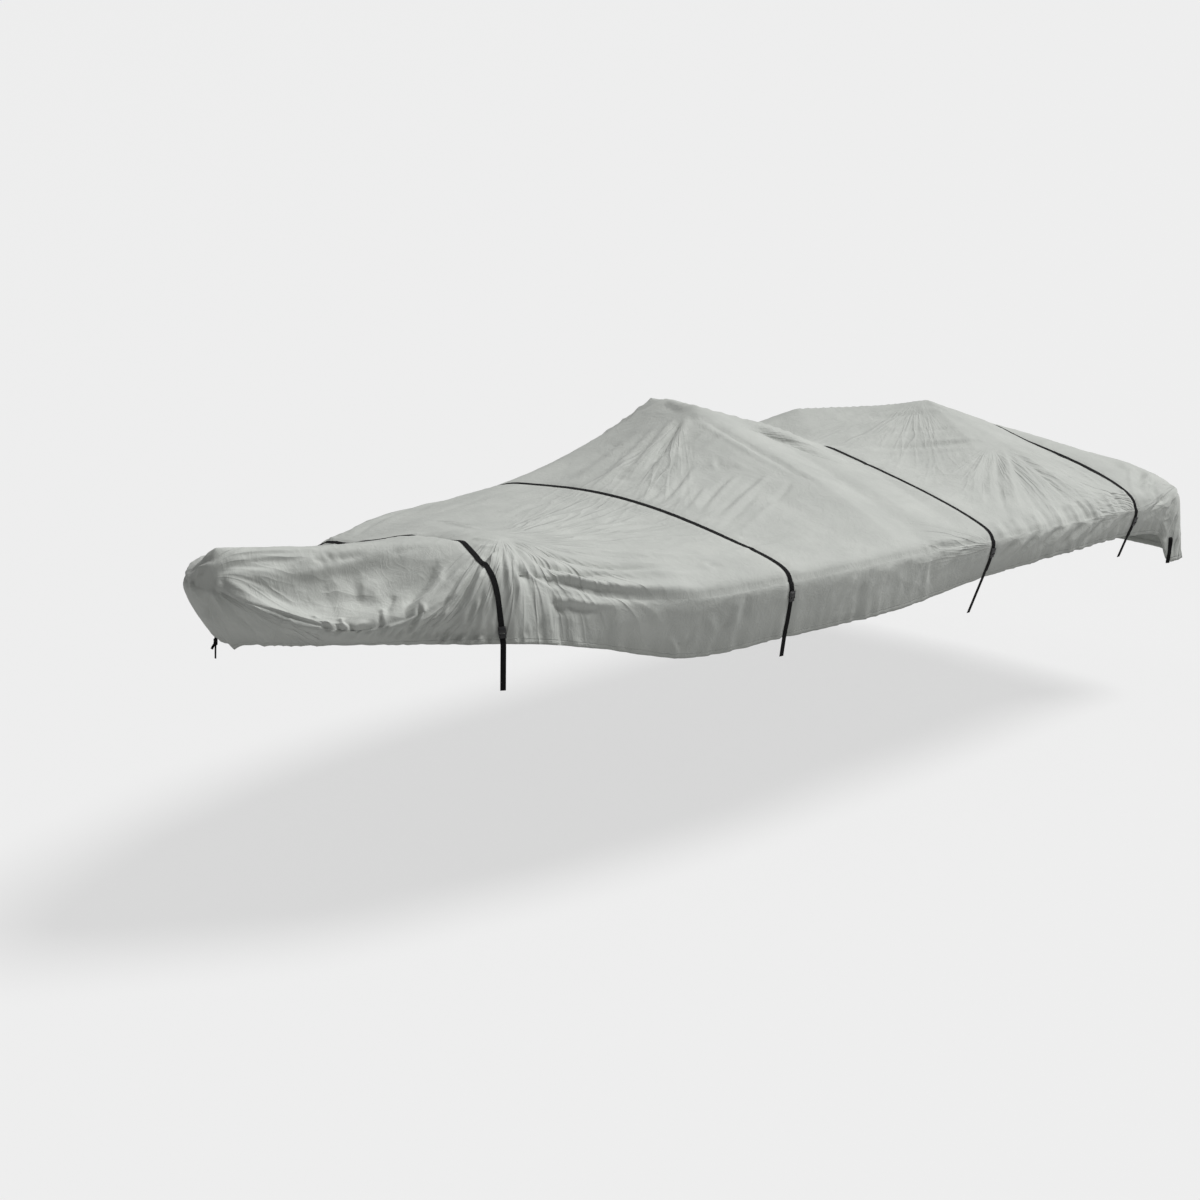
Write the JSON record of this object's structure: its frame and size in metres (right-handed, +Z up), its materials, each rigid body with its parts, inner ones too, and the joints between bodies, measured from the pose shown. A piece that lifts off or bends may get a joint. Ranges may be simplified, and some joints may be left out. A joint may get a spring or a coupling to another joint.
{
  "type": "boat cover",
  "caption": "Fitted cloth cover for an open boat, hollow underneath, with a rising top, a hanging skirt and webbing tie-down straps.",
  "frame": {"origin": "under the top of the cloth on its middle line, beside its highest point, where the thing it covers holds it up", "axes": "+X from bow to stern, +Y to starboard, +Z up"},
  "size_m": [6.0029, 2.3242, 1.0168],
  "materials": {
    "cloth": "light grey woven polyester, matt",
    "webbing": "black woven webbing, matt",
    "buckle_plastic": "black moulded plastic, satin"
  },
  "bodies": {
    "root": {"cover_cloth": "cloth", "strap_bow": "webbing", "strap_fore": "webbing", "strap_mid": "webbing", "strap_stern": "webbing", "buckle_bow_port": "buckle_plastic", "buckle_bow_starboard": "buckle_plastic", "buckle_fore_port": "buckle_plastic", "buckle_fore_starboard": "buckle_plastic", "buckle_mid_port": "buckle_plastic", "buckle_mid_starboard": "buckle_plastic", "buckle_stern_port": "buckle_plastic", "buckle_stern_starboard": "buckle_plastic", "tail_bow_port": "webbing", "tail_bow_starboard": "webbing", "tail_fore_port": "webbing", "tail_fore_starboard": "webbing", "tail_mid_port": "webbing", "tail_mid_starboard": "webbing", "tail_stern_port": "webbing", "tail_stern_starboard": "webbing", "free_end_mid_port": "webbing", "free_end_mid_starboard": "webbing", "free_end_stern_port": "webbing", "free_end_stern_starboard": "webbing", "stern_tab_port": "webbing", "stern_tab_starboard": "webbing", "bow_tie": "webbing"}
  },
  "joints": []
}
